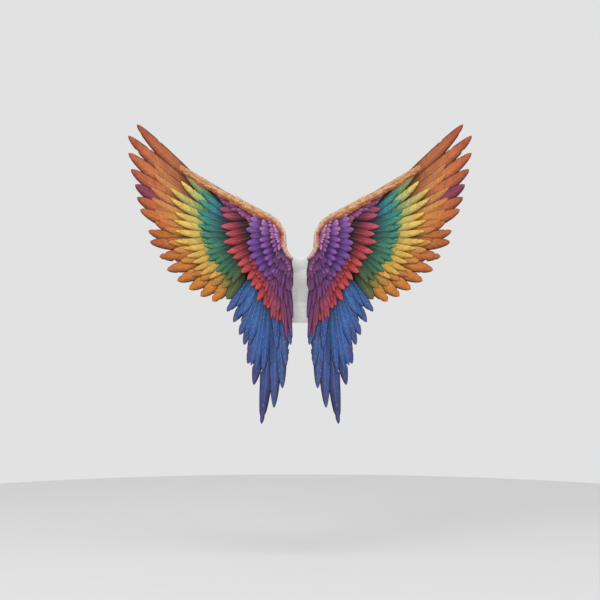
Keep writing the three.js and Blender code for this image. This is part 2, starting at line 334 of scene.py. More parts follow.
# Feathers. Each row is a fan: a centre, angles from the span direction, and reaches of roots and tips in mm.
# Colours are stops over the fan, each with the vane's root, middle and tip.
wrist = (120, 155)
tiers = {
    "primary_feathers": [
        dict(count=9, centre=wrist, angles=(42.5, 2), root=(120, 90), tips=(455, 425, 368, 334, 304),
             width=(36, 45, 38), bow=(0.03, 0.09), point=0.58, lift=5, splits=2, resized={1: 1.03, 7: 0.9},
             stops=[(0, "b85f40", "c87244", "a04c34"), (0.25, "c46c3e", "d88048", "b05a3a"),
                    (0.42, "d48844", "d07040", "a44e3c"), (0.5, "a04450", "a8404c", "8a3a60"),
                    (0.62, "e09a44", "dc823c", "b45a34"), (1, "e4a03c", "e08a34", "bc6430")]),
        dict(count=7, centre=wrist, angles=(35, 4), root=(110, 90), tips=(350, 312, 260), width=31,
             bow=0.07, point=0.66, lift=3, splits=3, jitter=1.0, front=0.9,
             stops=[(0, "a85a3c", "b86a40", "c87e48"), (0.35, "dcae5c", "d8a04e", "cc8248"),
                    (1, "dea84c", "da9840", "c4743a")]),
    ],
    "secondary_feathers": [
        dict(count=8, centre=wrist, angles=(-4, -65), root=(80, 70), tips=(292, 250, 206), width=40,
             bow=0.05, point=0.56, lift=5, splits=4, reachJitter=0.03,
             stops=[(0, "e09440", "dc8438", "b45e2e"), (0.5, "e4a040", "e09038", "c06c2c"),
                    (0.85, "e8ac44", "e49c38", "cc7a2c"), (1, "3c5438", "44603c", "5c6438")]),
        dict(count=7, centre=wrist, angles=(-3, -58), root=(70, 70), tips=(248, 216, 178), width=35,
             bow=0.05, point=0.58, lift=4, splits=3, jitter=2.0, front=0.9,
             stops=[(0, "deae58", "daa04c", "d08a44"), (0.6, "deaa4c", "da9c44", "cc823c"),
                    (1, "4c683c", "5c7038", "8c8038")]),
    ],
    "tertial_feathers": [
        dict(count=12, centre=(85, 99), angles=(-54, -106), power=0.75, root=(40, 40), width=(30, 38, 28),
             tips=(195, 226, 266, 344, 500, 385, 285, 210), bow=0.02, point=0.6, lift=5, splits=5,
             jitter=1.2, reachJitter=0.03, resized={5: 0.97, 7: 0.95},
             stops=[(0, "3470b8", "3464ac", "3e5892"), (0.5, "305ca8", "344f96", "444684"),
                    (1, "2c58a0", "2f64a8", "3c6094")]),
        dict(count=11, centre=(85, 99), angles=(-56, -100), power=0.85, root=(40, 40), width=(26, 32, 25),
             tips=(165, 190, 240, 300, 330, 260, 180), bow=0.02, point=0.7, lift=4, splits=5, jitter=2.0,
             reachJitter=0.09, front=0.9,
             stops=[(0, "3476c0", "346cb4", "365ca4"), (1, "2c5cac", "2f68b8", "3a58a4")]),
    ],
    "greater_coverts": [
        dict(count=14, centre=wrist, angles=(41, -42), root=(70, 60), tips=(284, 222, 192), width=25,
             bow=0.055, point=0.66, lift=3, splits=2, jitter=0.8, reachJitter=0.06,
             stops=[(0, "28748c", "7cb880", "dcc460"), (0.25, "287090", "c0c468", "f0bc58"),
                    (0.6, "348474", "e0c45c", "f2bc54"), (1, "48864e", "dcb850", "e8a646")]),
        dict(count=11, centre=wrist, angles=(38, -34), root=(60, 60), tips=(196, 160, 142), width=24,
             bow=0.045, point=0.7, lift=2, splits=2, jitter=1.0, front=0.8,
             stops=[(0, "285c8c", "2a7c94", "38988c"), (0.5, "286c7c", "2c8480", "489c74"),
                    (1, "2c7058", "50925c", "a4b058")]),
    ],
    "median_coverts": [
        dict(count=12, centre=wrist, angles=(14, -64), root=(50, 50), tips=(148, 142, 148), width=24,
             bow=0.03, point=0.6, lift=3, splits=2, jitter=1.5, reachJitter=0.1,
             stops=[(0, "1c4c60", "246870", "389080"), (0.5, "1a4e44", "287056", "4e9672"),
                    (0.8, "183f34", "225a42", "347650"), (1, "203e34", "345a3e", "526640")]),
    ],
    "red_coverts": [
        dict(count=20, base=0.7, width=25, bow=0.04, point=0.8, lift=4, splits=2, jitter=3.0,
             reachJitter=0.1, route=[(150, 236), (136, 190), (128, 142), (114, 104), (94, 70), (78, 34),
                                     (60, 2), (46, -20)],
             headings=(8, -1, -14, -34, -52, -66, -78, -90), length=(72, 84, 86, 78, 70, 76, 80, 78),
             stops=[(0, "54204c", "742c58", "9c4c70"), (0.2, "74203c", "a83044", "d05c68"),
                    (0.5, "7c1c24", "b83438", "d4504c"), (0.8, "701c38", "a82c40", "bc4048"),
                    (1, "642858", "943058", "b83c48")]),
        dict(count=13, base=0.7, width=16, bow=0.03, point=0.6, splits=1, jitter=5.0, front=0.9,
             route=[(190, 254), (158, 236), (122, 216), (100, 198)], headings=(16, 8, -2, -8),
             length=(46, 52, 50, 46),
             stops=[(0, "283c7c", "38509c", "5058a4"), (0.35, "40245c", "643880", "9060a4"),
                    (1, "602448", "843460", "b45878")]),
        dict(count=12, base=0.75, width=19, bow=0.03, point=0.75, lift=3, splits=1, jitter=4.0, front=1.2,
             route=[(98, 110), (84, 76), (70, 44), (56, 6)], headings=(-32, -50, -66, -82),
             length=(52, 54, 60, 64),
             stops=[(0, "681c3c", "942c40", "b84450"), (0.5, "601c4c", "8c2c54", "ac3c58"),
                    (1, "5c2458", "843068", "a83c58")]),
    ],
    "plum_scapulars": [
        dict(count=9, centre=(55, 150), angles=(-76, -96), root=(70, 70), tips=(170, 232, 288), width=15,
             point=0.7, lift=3, splits=2, jitter=1.2, reachJitter=0.07,
             stops=[(0, "582850", "863460", "ac3c54"), (0.5, "502658", "803062", "a44450"),
                    (1, "44265e", "6a3268", "803e74")]),
        dict(count=8, centre=(52, 150), angles=(-78, -96), root=(60, 60), tips=(140, 180, 216), width=14,
             point=0.65, lift=3, splits=2, jitter=2.0, reachJitter=0.08, front=0.9,
             stops=[(0, "482466", "643076", "86407c"), (1, "3c1e58", "5a2a6c", "763c78")]),
    ],
    "purple_coverts": [
        dict(count=12, base=0.7, width=25, bow=0.05, point=0.62, lift=4, splits=2, jitter=3.0,
             reachJitter=0.1, route=[(84, 192), (82, 168), (82, 136), (78, 102), (64, 76)],
             headings=(22, 6, -10, -38, -66), length=(50, 64, 66, 62, 58),
             stops=[(0, "4c2468", "784898", "a878bc"), (0.4, "2e1450", "623692", "8050ac"),
                    (1, "2c144c", "5a3082", "784694")]),
        dict(count=12, base=0.7, width=19, bow=0.04, point=0.5, lift=3, splits=1, jitter=4.0, front=1.0,
             reachJitter=0.1, route=[(74, 188), (69, 168), (67, 142), (62, 108), (52, 86)],
             headings=(28, 8, -12, -42, -70), length=(36, 46, 48, 46, 48),
             stops=[(0, "703c84", "a060b0", "cc98cc"), (0.5, "481f70", "7c40a6", "9c5cba"),
                    (1, "3c1860", "6a3496", "884aa6")]),
    ],
    "lesser_coverts": [
        dict(count=13, base=0.7, width=13, point=0.5, lift=3, jitter=6.0, reachJitter=0.12,
             route=[(64, 186), (56, 168), (52, 146), (48, 118)], headings=(32, 8, -22, -60),
             length=(32, 32, 32, 34),
             stops=[(0, "743c84", "a05ca8", "cc90cc"), (1, "4c2468", "783a8c", "a05cac")]),
        dict(count=14, base=0.7, width=11, point=0.5, jitter=7.0, reachJitter=0.12, front=0.8,
             route=[(58, 180), (51, 164), (47, 144), (43, 118)], headings=(36, 6, -30, -70),
             length=(23, 22, 22, 26),
             stops=[(0, "a05890", "c478ac", "e0a4c0"), (1, "743880", "a455a0", "cc84b8")]),
        dict(count=12, base=0.6, width=13, point=0.6, lift=3, splits=1, jitter=4.0, reachJitter=0.12,
             route=[(60, 98), (48, 94), (37, 82), (28, 66)], headings=(-62, -76, -86, -92),
             length=(64, 74, 76, 66),
             stops=[(0, "301648", "4c2866", "6a347a"), (1, "361a4c", "562c62", "78407a")]),
        dict(count=12, base=0.6, width=12, point=0.6, splits=1, jitter=5.0, reachJitter=0.14, front=0.8,
             route=[(56, 112), (45, 108), (36, 96), (28, 82)], headings=(-60, -74, -86, -92),
             length=(46, 50, 52, 50),
             stops=[(0, "341a54", "54286e", "763a88"), (1, "3a1c54", "5e2e6c", "824480")]),
        dict(count=11, base=0.6, width=11, point=0.55, jitter=6.0, reachJitter=0.14, front=1.5,
             route=[(50, 124), (42, 116), (34, 104), (27, 92)], headings=(-58, -74, -86, -92),
             length=(34, 34, 36, 38),
             stops=[(0, "3e205a", "62307a", "844894"), (1, "54285e", "784078", "a46090")]),
    ],
}

# The leading edge: slim feathers in rows beside the wing's front line, tips swept outward.
edgeRoute = [(19, 84), (36, 112), (42, 156), (70, 199), (150, 245), (225, 284), (285, 318)]
edgeRows = [
    dict(inset=(4, 9, 16, 9, 2), length=(20, 30, 46, 58, 60), width=11, turn=-7, count=52, front=-1.0, lift=1,
         stops=[(0, "743468", "945080", "b87c9c"), (0.3, "5c2444", "843850", "ac5460"),
                (0.6, "84382c", "a84c34", "c46c40"), (1, "94442f", "ac5438", "bc6440")]),
    dict(inset=(3, 6, 11, 6, 1), length=(18, 28, 42, 56, 60), width=9, turn=-5, count=64, front=0.0, lift=1,
         stops=[(0, "9c5480", "b86c94", "d498ac"), (0.3, "8c3c4c", "b05c58", "cc8064"),
                (0.5, "a85434", "c87040", "e0985c"), (1, "984830", "b45c3c", "c87448")]),
    dict(inset=(2, 4, 8, 7, 2), length=(16, 24, 38, 54, 60), width=8, turn=-4, count=74, front=0.4, lift=1,
         stops=[(0, "b06c88", "c88498", "e0acb0"), (0.3, "a85c50", "c88060", "e4a880"),
                (0.6, "b86838", "d48c50", "eab47c"), (1, "a45438", "c06c44", "d48854")]),
    dict(inset=(1, 2, 5, 4, 1), length=(14, 22, 36, 52, 60), width=7, turn=-3, count=84, front=0.7, lift=1,
         stops=[(0, "c08490", "d49c9c", "ecc0b4"), (0.3, "bc7c68", "dca080", "f0c8a8"),
                (0.6, "c88454", "e0a878", "f2c8a0"), (1, "ac6040", "c87c50", "dc9868")]),
    dict(inset=(0, 1, 2, 1, 0), length=(13, 20, 34, 50, 60), width=6, turn=-1, count=90, front=0.9, lift=1,
         stops=[(0, "c8908c", "dca898", "f0c8b4"), (0.6, "cc9068", "e4b48c", "f4d0b0"),
                (1, "b46c48", "cc8858", "e0a474")]),
]
# One vane: its mesh, its outline, its body in mm, its parted barbs and how its colour varies
vaneShape = {
    "across": 8, "stepLength": 5.0, "fewestSteps": 9,
    "base": 0.42, "fullWidth": 0.5, "taperFrom": 0.55, "taperPower": 2.2, "least": 0.02,
    "thickness": 0.35, "quill": 0.6, "quillWidth": 0.12, "rearBulge": 0.6,
    "camber": 0.065, "tilt": 0.04, "sway": 0.4,
    "partFrom": (0.45, 0.93), "partDepth": (0.12, 0.3), "partWidth": 0.014,
    "vary": (0.88, 1.12), "depth": 0.84, "rearShare": 0.76,
}


def stopColour(stops, t):
    for low, high in zip(stops, stops[1:]):
        if t <= high[0]:
            share = (t - low[0]) / (high[0] - low[0])
            return [np.array(paint(a)) * (1 - share) + np.array(paint(b)) * share
                    for a, b in zip(low[1:], high[1:])]
    return [np.array(paint(c)) for c in stops[-1][1:]]


def spread(values, t):
    # a value along a row: one number for the whole row, or several evenly spaced along it
    if not hasattr(values, "__len__"):
        return values
    return float(np.interp(t, np.linspace(0, 1, len(values)), values))


def fanFeathers(row, rng):
    for i in range(row["count"]):
        t = i / (row["count"] - 1)
        first, last = row["angles"]
        angle = first + (last - first) * t ** row.get("power", 1) + rng.uniform(-1, 1) * row.get("jitter", 0)
        reach = spread(row["tips"], t) * (1 + rng.uniform(-1, 1) * row.get("reachJitter", 0.0))
        reach *= row.get("resized", {}).get(i, 1)
        heading = np.array((math.cos(math.radians(angle)), math.sin(math.radians(angle))))
        base = spread(row["root"], t)
        centre = np.array(row["centre"], float)
        yield centre + heading * base, centre + heading * reach, t


def routeFeathers(row, rng):
    for i in range(row["count"]):
        t = i / (row["count"] - 1)
        angle = math.radians(spread(row["headings"], t) + rng.uniform(-1, 1) * row["jitter"])
        reach = spread(row["length"], t) * (1 + rng.uniform(-1, 1) * row.get("reachJitter", 0.06))
        root = splinePoint(row["route"], t)
        yield root, root + np.array((math.cos(angle), math.sin(angle))) * reach, t


def tierFeathers(row, rng):
    return routeFeathers(row, rng) if "route" in row else fanFeathers(row, rng)


def edgeFeathers(row, rng):
    for i in range(row["count"]):
        t = i / (row["count"] - 1)
        here = splinePoint(edgeRoute, t)
        along = splinePoint(edgeRoute, min(t + 0.01, 1)) - splinePoint(edgeRoute, max(t - 0.01, 0))
        along /= np.linalg.norm(along)
        below = np.array((along[1], -along[0]))
        turn = math.radians(row["turn"] + rng.uniform(-4, 4))
        heading = along * math.cos(turn) - below * math.sin(turn)
        root = here + below * (spread(row["inset"], t) + 1)
        yield root, root + heading * spread(row["length"], t) * rng.uniform(0.9, 1.1), t


def vane(root, tip, row, t, depth, rng):
    shape = vaneShape
    chord = tip - root
    length = float(np.linalg.norm(chord))
    along = chord / length
    across = np.array((-along[1], along[0]))
    steps = max(shape["fewestSteps"], int(length / shape["stepLength"]))
    s = np.linspace(0, 1, steps + 1)[:, None]
    v = np.linspace(-1, 1, shape["across"] + 1)[None, :]
    middle = root + s * chord - across * (spread(row.get("bow", 0), t) * length * 4 * s * (1 - s))
    slope = np.gradient(middle, axis=0)
    slope /= np.linalg.norm(slope, axis=1)[:, None]
    normal = np.stack((-slope[:, 1], slope[:, 0]), axis=1)
    base = row.get("base", shape["base"])
    broad = base + (1 - base) * np.clip(s / shape["fullWidth"], 0, 1) ** 0.8
    taper = np.clip((s - shape["taperFrom"]) / (1 - shape["taperFrom"]), 0, 1)
    narrowing = np.maximum(1 - taper ** shape["taperPower"], 0) ** row.get("point", 0.6)
    half = np.maximum(spread(row["width"], t) / 2 * broad * narrowing, shape["least"])
    edge = np.ones_like(s * v)
    for _ in range(row.get("splits", 0)):      # small gaps where the barbs have parted
        at, side = rng.uniform(*shape["partFrom"]), rng.choice((-1, 1))
        cut = rng.uniform(*shape["partDepth"]) * np.exp(-((s - at - 0.03 * abs(v)) / shape["partWidth"]) ** 2)
        edge -= cut * np.clip(v * side, 0, 1) ** 3
    offset = v * half * edge
    x = middle[:, 0:1] + normal[:, 0:1] * offset
    z = middle[:, 1:2] + normal[:, 1:2] * offset
    sway = shape["sway"] * np.sin(s * 5 + rng.uniform(0, 6))
    forward = (depth + half * shape["camber"] * (1 - v ** 2) + v * half * shape["tilt"]
               + row.get("lift", 2) * s ** 4 + sway * s + 0 * x)
    quill = shape["quill"] * np.exp(-(v / shape["quillWidth"]) ** 2) * (1 - s) ** 0.6 * (s > 0) * (s < 1)
    body = shape["thickness"] * (1 - v ** 2) * np.minimum(1, 12 * s * (1 - s)) + quill
    front = np.stack((x, -(forward + body), z), axis=2)
    back = np.stack((x, -(forward - body * shape["rearBulge"]), z), axis=2)

    # the two faces share the points along the outline
    number = np.arange(x.size).reshape(x.shape)
    inner = np.zeros(x.shape, bool)
    inner[1:-1, 1:-1] = True
    rear = number.copy()
    rear[inner] = x.size + np.arange(inner.sum())
    quads = []
    for grid, order in ((number, (0, 1, 2, 3)), (rear, (3, 2, 1, 0))):
        corners = np.stack((grid[:-1, :-1], grid[:-1, 1:], grid[1:, 1:], grid[1:, :-1]), axis=2)
        quads.append(corners.reshape(-1, 4)[:, order])

    rootTint, midTint, tipTint = stopColour(row["stops"], t)
    vary = rng.uniform(*shape["vary"])
    sweep = s[:, :, None] + 0 * x[:, :, None]
    inward = rootTint + (midTint - rootTint) * np.clip((sweep - 0.15) / 0.4, 0, 1)
    outward = midTint + (tipTint - midTint) * np.clip((sweep - 0.55) / 0.4, 0, 1)
    tint = np.clip(np.where(sweep < 0.55, inward, outward) * vary * shape["depth"], 0, 1)
    place = np.stack((s * length * mm + 0 * x, offset * mm, np.full(x.shape, rng.uniform(0, 9))), axis=2)
    shares = np.stack((sweep[:, :, 0], abs(v) + 0 * x, v + 0 * x), axis=2)
    rearShares = np.maximum(shares, (shape["rearShare"], 0, -1))      # no shade at the root of the rear face

    def whole(grid, rearGrid):
        return np.concatenate((grid.reshape(-1, 3), rearGrid[inner]))

    points = whole(front, back) * mm
    return points, np.concatenate(quads), whole(tint, tint), whole(place, place), whole(shares, rearShares)


# What the feather finish reads from each point: its colour, its place in metres and its shares of the vane
vaneLayers = {"vaneTint": "FLOAT_COLOR", "vanePlace": "FLOAT_VECTOR", "vaneShare": "FLOAT_VECTOR"}


def joinVanes(name, vanes, side):
    points, faces, start = [], [], 0
    for vanePoints, vaneFaces, *_ in vanes:
        points.append(vanePoints)
        faces.append(vaneFaces + start)
        start += len(vanePoints)
    allPoints = np.concatenate(points) * (side, 1, 1)
    allFaces = np.concatenate(faces)
    if side < 0:
        allFaces = allFaces[:, ::-1]
    piece = meshPiece(name, allPoints, allFaces.tolist())
    for column, (label, kind) in enumerate(vaneLayers.items(), 2):
        values = np.concatenate([v[column] for v in vanes])
        if kind == "FLOAT_COLOR":
            values = np.concatenate((values, np.ones((len(values), 1))), axis=1)
        layer = piece.data.attributes.new(label, kind, "POINT").data
        layer.foreach_set("color" if kind == "FLOAT_COLOR" else "vector", values.astype(np.float32).ravel())
    return piece


featherSeeds = {"tiers": 11, "edge_coverts": 40}


def buildTier(name, rows, feathersOf, seed):
    finish = featherFinish(name)
    rear = -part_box(f"right_{name}")[1].y / mm
    for sideName, side in sides.items():
        rng = np.random.default_rng(seed)
        vanes = [vane(root, tip, row, t, rear + row.get("front", 0.0), rng)
                 for row in rows for root, tip, t in feathersOf(row, rng)]
        piece = joinVanes(f"{sideName}_{name}_vanes", vanes, side)
        settle(piece, f"{sideName}_wing", name, f"{sideName}_{name}", finish=finish)


for number, (name, rows) in enumerate(tiers.items()):
    buildTier(name, rows, tierFeathers, featherSeeds["tiers"] + number)
buildTier("edge_coverts", edgeRows, edgeFeathers, featherSeeds["edge_coverts"])
print("feathers laid")

# Sewing: short thread dashes along a line of points in metres
sewing = {"dash": 3.4 * mm, "gap": 2.0 * mm, "radius": 0.45 * mm, "facets": 6,
          "swell": ((0, 0.4), (0.25, 1), (0.75, 1), (1, 0.4))}      # shares of the dash and of the radius


def sewn(name, lines, body, slot, finish):
    points, faces = [], []
    facets, pitch = sewing["facets"], sewing["dash"] + sewing["gap"]
    for line in lines:
        line = np.array(line, float)
        walk = walked(line)
        for start in np.arange(0, walk[-1] - sewing["dash"], pitch):
            near, far = (pointAt(line, walk, at) for at in (start, start + sewing["dash"]))
            along = Vector(far - near).normalized()
            across = along.orthogonal().normalized()
            third = along.cross(across)
            first = len(points)
            for share, swell in sewing["swell"]:
                middle = Vector(near + (far - near) * share)
                ring = circle(swell * sewing["radius"], facets)
                points += [middle + across * u + third * v for u, v in ring]
            faces += ringFaces(first, len(sewing["swell"]), facets)
            faces.append(tuple(range(first, first + facets))[::-1])
            faces.append(tuple(range(len(points) - facets, len(points))))
    settle(meshPiece(name, points, faces), body, slot, finish=finish)


# Hard pieces: turned, bevelled and tubular
forwardTurn = Matrix.Rotation(math.radians(90), 4, "X")      # turned pieces whose axis runs forward
hardware = {
    "plateEdge": 1.2 * mm, "edge": 0.5 * mm, "bevelAngle": 40, "merge": 0.01 * mm, "flat": math.radians(1),
    "pinRadius": 3 * mm, "knobRadius": 5.5 * mm, "knobHeight": 12 * mm, "pinFacets": 48,
    "gripRings": 6, "ringPitch": 1.4 * mm, "ringDepth": 0.35 * mm,
    "screwRadius": 2 * mm, "screwHead": 4 * mm, "headHeight": 2 * mm, "socketDepth": 1 * mm,
    "screwFacets": 32,
    "rivetRadius": 2.4 * mm, "rivetHeight": 1.4 * mm, "rivetSink": 0.1 * mm, "rivetFacets": 24,
    "anchorRivets": (0.2, 0.8), "leafEdge": 6 * mm, "leafRivets": 5,
}


def turned(name, profile, facets):
    # profile is radius and height pairs, starting and ending on the axis
    inner = profile[1:-1]
    points = [(x, y, height) for radius, height in inner for x, y in circle(radius, facets)]
    faces = ringFaces(0, len(inner), facets)
    low, high = len(points), len(points) + 1
    points += [(0, 0, profile[0][1]), (0, 0, profile[-1][1])]
    last = (len(inner) - 1) * facets
    for k in range(facets):
        n = (k + 1) % facets
        faces.append((low, n, k))
        faces.append((high, last + k, last + n))
    return meshPiece(name, points, faces)


def putAt(piece, where, turn=Matrix.Identity(4)):
    piece.data.transform(Matrix.Translation(Vector(where)) @ turn)


def softened(node, name, bevel):
    piece = bpy.data.objects.new(name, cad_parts[node].data.copy())
    scene.collection.objects.link(piece)
    shaped = bmesh.new()
    shaped.from_mesh(piece.data)
    bmesh.ops.remove_doubles(shaped, verts=shaped.verts, dist=hardware["merge"])
    bmesh.ops.dissolve_limit(shaped, angle_limit=hardware["flat"], verts=shaped.verts, edges=shaped.edges)
    shaped.to_mesh(piece.data)
    shaped.free()
    return bevelled(piece, bevel, hardware["bevelAngle"])


def laidOn(mesh, line, above):
    # the points of a line in X and Z, laid on a mesh from the wearer's side
    surface = BVHTree.FromPolygons([v.co for v in mesh.vertices], [f.vertices for f in mesh.polygons])
    start, forward = above + 10 * mm, Vector((0, -1, 0))
    hits = [surface.ray_cast(Vector((x, start, z)), forward)[0] for x, z in line]
    return [hit for hit in hits if hit]


def addRivet(name, where, body):
    # a domed head standing on a face that looks towards the wearer
    r, h = hardware["rivetRadius"], hardware["rivetHeight"]
    dome = [(0, 0), (r, 0), (r * 0.9, h * 0.57), (r * 0.5, h * 0.93), (0, h)]
    rivet = turned(name, dome, hardware["rivetFacets"])
    putAt(rivet, Vector(where) - Vector((0, hardware["rivetSink"], 0)), forwardTurn.inverted())
    settle(rivet, body, "steel")


def addPin(side):
    low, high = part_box(f"{side}_hinge_pin")
    height = high.z - low.z
    neck, shaft, knob = height - hardware["knobHeight"], hardware["pinRadius"], hardware["knobRadius"]
    profile = [(0, 0), (shaft * 0.6, 0), (shaft, 1 * mm), (shaft, neck)]
    profile += [(knob * 0.95, neck), (knob, neck + 0.5 * mm)]
    for ring in range(hardware["gripRings"]):
        foot = neck + 1.5 * mm + ring * hardware["ringPitch"]
        profile += [(knob, foot), (knob - hardware["ringDepth"], foot + 0.5 * mm), (knob, foot + 1 * mm)]
    profile += [(knob, height - 1.6 * mm), (knob * 0.75, height - 0.3 * mm), (0, height)]
    pin = turned(f"{side}_hinge_pin_finished", profile, hardware["pinFacets"])
    putAt(pin, ((low.x + high.x) / 2, (low.y + high.y) / 2, low.z))
    settle(pin, f"{side}_pin", "steel", f"{side}_hinge_pin")


def addScrew(node):
    low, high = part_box(node)
    length, r, head = high.y - low.y, hardware["screwRadius"], hardware["screwHead"]
    shoulder, floor = length - hardware["headHeight"], length - hardware["socketDepth"]
    profile = [(0, 0), (r, 0), (r, shoulder), (head, shoulder), (head, length - 1.2 * mm),
               (head * 0.85, length - 0.4 * mm), (head * 0.5, length), (head * 0.42, length),
               (head * 0.4, floor), (0, floor)]
    screw = turned(node + "_finished", profile, hardware["screwFacets"])
    putAt(screw, ((low.x + high.x) / 2, high.y, (low.z + high.z) / 2), forwardTurn)
    settle(screw, "harness", "steel", node)


def addAnchorRivets(side, level):
    low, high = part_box(f"{side}_{level}_strap_anchor")
    for k, share in enumerate(hardware["anchorRivets"]):
        spot = (low.x + (high.x - low.x) * share, high.y, (low.z + high.z) / 2)
        addRivet(f"{side}_{level}_anchor_rivet_{k + 1}", spot, "harness")


def addLeafRivets(side):
    # a row along the leaf's free edge
    low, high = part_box(f"{side}_hinge_leaf")
    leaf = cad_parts[f"{side}_hinge_leaf"].data
    x = low.x + hardware["leafEdge"] if side == "left" else high.x - hardware["leafEdge"]
    for k in range(hardware["leafRivets"]):
        z = low.z + (high.z - low.z) * (k + 0.5) / hardware["leafRivets"]
        addRivet(f"{side}_leaf_rivet_{k + 1}", laidOn(leaf, [(x, z)], high.y)[0], f"{side}_wing")


def buildHardware():
    plate = softened("back_plate", "back_plate_shell", hardware["plateEdge"])
    settle(plate, "harness", "white_plastic", "back_plate")
    for side in sides:
        for part, body, slot in (
            ("hinge_bracket", "harness", "steel"),
            ("hinge_leaf", f"{side}_wing", "steel"),
            ("strap_adjuster", f"{side}_adjuster", "white_plastic"),
            ("upper_strap_anchor", "harness", "white_plastic"),
            ("lower_strap_anchor", "harness", "white_plastic"),
        ):
            node = f"{side}_{part}"
            settle(softened(node, node + "_finished", hardware["edge"]), body, slot, node)
        addPin(side)
        for level in ("upper", "lower"):
            addScrew(f"{side}_{level}_bracket_screw")
            addAnchorRivets(side, level)
        addLeafRivets(side)


buildHardware()
print("hardware ready")

# Wires behind the backing, and the sewn tabs that hold them
wireRoutes = {
    "wing_spar": [(62, 30), (64, 120), (106, 192), (190, 240), (285, 292), (325, 316)],
    "wing_rib_1": [(76, 46), (200, 175), (325, 262)],
    "wing_rib_2": [(76, 22), (200, 125), (312, 180)],
    "wing_rib_3": [(76, 0), (165, 60), (245, 85)],
    "wing_rib_4": [(76, -26), (98, -70), (112, -125)],
}
wireSteps = 60
tubeRoundness = 6
tabs = {
    "spacing": 48, "width": 12, "foot": 5, "clear": 0.5, "thickness": 0.7, "crownPoints": 9,
    "leafReach": 96, "leafFoot": -64,      # inboard of the one and above the other lies the steel leaf
}


def tube(name, points, radius, depth, side):
    curve = bpy.data.curves.new(name, "CURVE")
    curve.dimensions = "3D"
    curve.bevel_depth = radius * mm
    curve.bevel_resolution = tubeRoundness
    curve.use_fill_caps = True
    line = curve.splines.new("POLY")
    line.points.add(len(points) - 1)
    for point, (x, z) in zip(line.points, points):
        point.co = (side * x * mm, -depth, z * mm, 1)
    holder = bpy.data.objects.new(name + "_line", curve)
    scene.collection.objects.link(holder)
    bpy.context.view_layer.update()
    mesh = bpy.data.meshes.new_from_object(holder.evaluated_get(bpy.context.evaluated_depsgraph_get()))
    bpy.data.objects.remove(holder)
    piece = bpy.data.objects.new(name, mesh)
    scene.collection.objects.link(piece)
    return piece


def wireTab(name, here, along, radius, depth, side):
    # a short cloth strip arched over the wire, its feet sewn to the backing
    across = np.array((-along[1], along[0]))
    reach = radius + tabs["clear"]
    foot = reach + tabs["foot"]
    turns = np.linspace(0, math.pi, tabs["crownPoints"])
    crown = [(-reach * math.cos(a), reach * math.sin(a) + radius) for a in turns]
    arch = [(-foot, 0.0)] + crown + [(foot, 0.0)]
    points, faces = [], []
    for end in (-0.5, 0.5):
        for layer in (0, tabs["thickness"]):
            for k, (sideways, rise) in enumerate(arch):
                spot = here + along * tabs["width"] * end + across * sideways
                points.append((side * spot[0] * mm, -depth + (rise + layer) * mm, spot[1] * mm))
    n = len(arch)
    for k in range(n - 1):
        faces += [(k, k + 1, 2 * n + k + 1, 2 * n + k), (n + k, 3 * n + k, 3 * n + k + 1, n + k + 1),
                  (k, n + k, n + k + 1, k + 1), (2 * n + k, 2 * n + k + 1, 3 * n + k + 1, 3 * n + k)]
    faces += [(0, 2 * n, 3 * n, n), (n - 1, 2 * n - 1, 4 * n - 1, 3 * n - 1)]
    return facingOut(meshPiece(name, points, faces))


def buildWires():
    for sideName, side in sides.items():
        backingRear = -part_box(f"{sideName}_backing_panel")[1].y
        for node, route in wireRoutes.items():
            low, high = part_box(f"{sideName}_{node}")
            depth = -(low.y + high.y) / 2
            radius = (high.y - low.y) / 2 / mm
            points = [splinePoint(route, t) for t in np.linspace(0, 1, wireSteps)]
            piece = tube(f"{sideName}_{node}_finished", points, radius, depth, side)
            settle(piece, f"{sideName}_wing", "painted_wire", f"{sideName}_{node}")
            walk = walked(points)
            for k in range(1, int(walk[-1] / tabs["spacing"]) + 1):
                i = min(int(np.searchsorted(walk, k * tabs["spacing"])), len(points) - 2)
                if points[i][0] < tabs["leafReach"] and points[i][1] > tabs["leafFoot"]:
                    continue
                heading = points[i + 1] - points[i - 1]
                heading /= np.linalg.norm(heading)
                tab = wireTab(f"{sideName}_{node}_tab_{k}", points[i], heading, radius, backingRear, side)
                settle(tab, f"{sideName}_wing", "backing_fabric", finish=finishes["tape"])


buildWires()

# Backing cloth, stretched over the wires
backing = {
    "outline": [(50, 20), (52, 130), (92, 190), (184, 244), (320, 318), (340, 280),
                (320, 175), (250, 70), (165, 20), (125, -120), (85, -170), (52, -110)],
    "points": 140, "grid": 9, "gridFrom": (50, -180), "gridTo": (350, 340), "gridShift": 0.01,
    "clearShare": 0.6,
    "slack": 0.5, "ripple": (21, 27), "hem": 1.1, "seam": 6, "seamLift": 0.6,
    "casing": 7, "casingSpan": (0.06, 0.97), "casingPoints": 40,
}


def inside(point, rim):
    x, z = point
    hit = False
    for (ax, az), (bx, bz) in zip(rim, rim[1:] + rim[:1]):
        if (az > z) != (bz > z) and x < (bx - ax) * (z - az) / (bz - az) + ax:
            hit = not hit
    return hit


def casings(route):
    # the two lines of thread that close a wire's casing, one on each side of it
    shares = np.linspace(*backing["casingSpan"], backing["casingPoints"])
    middle = np.array([splinePoint(route, t) for t in shares])
    heading = np.gradient(middle, axis=0)
    heading /= np.linalg.norm(heading, axis=1)[:, None]
    beside = np.stack((-heading[:, 1], heading[:, 0]), axis=1) * backing["casing"]
    return [middle + beside, middle - beside]


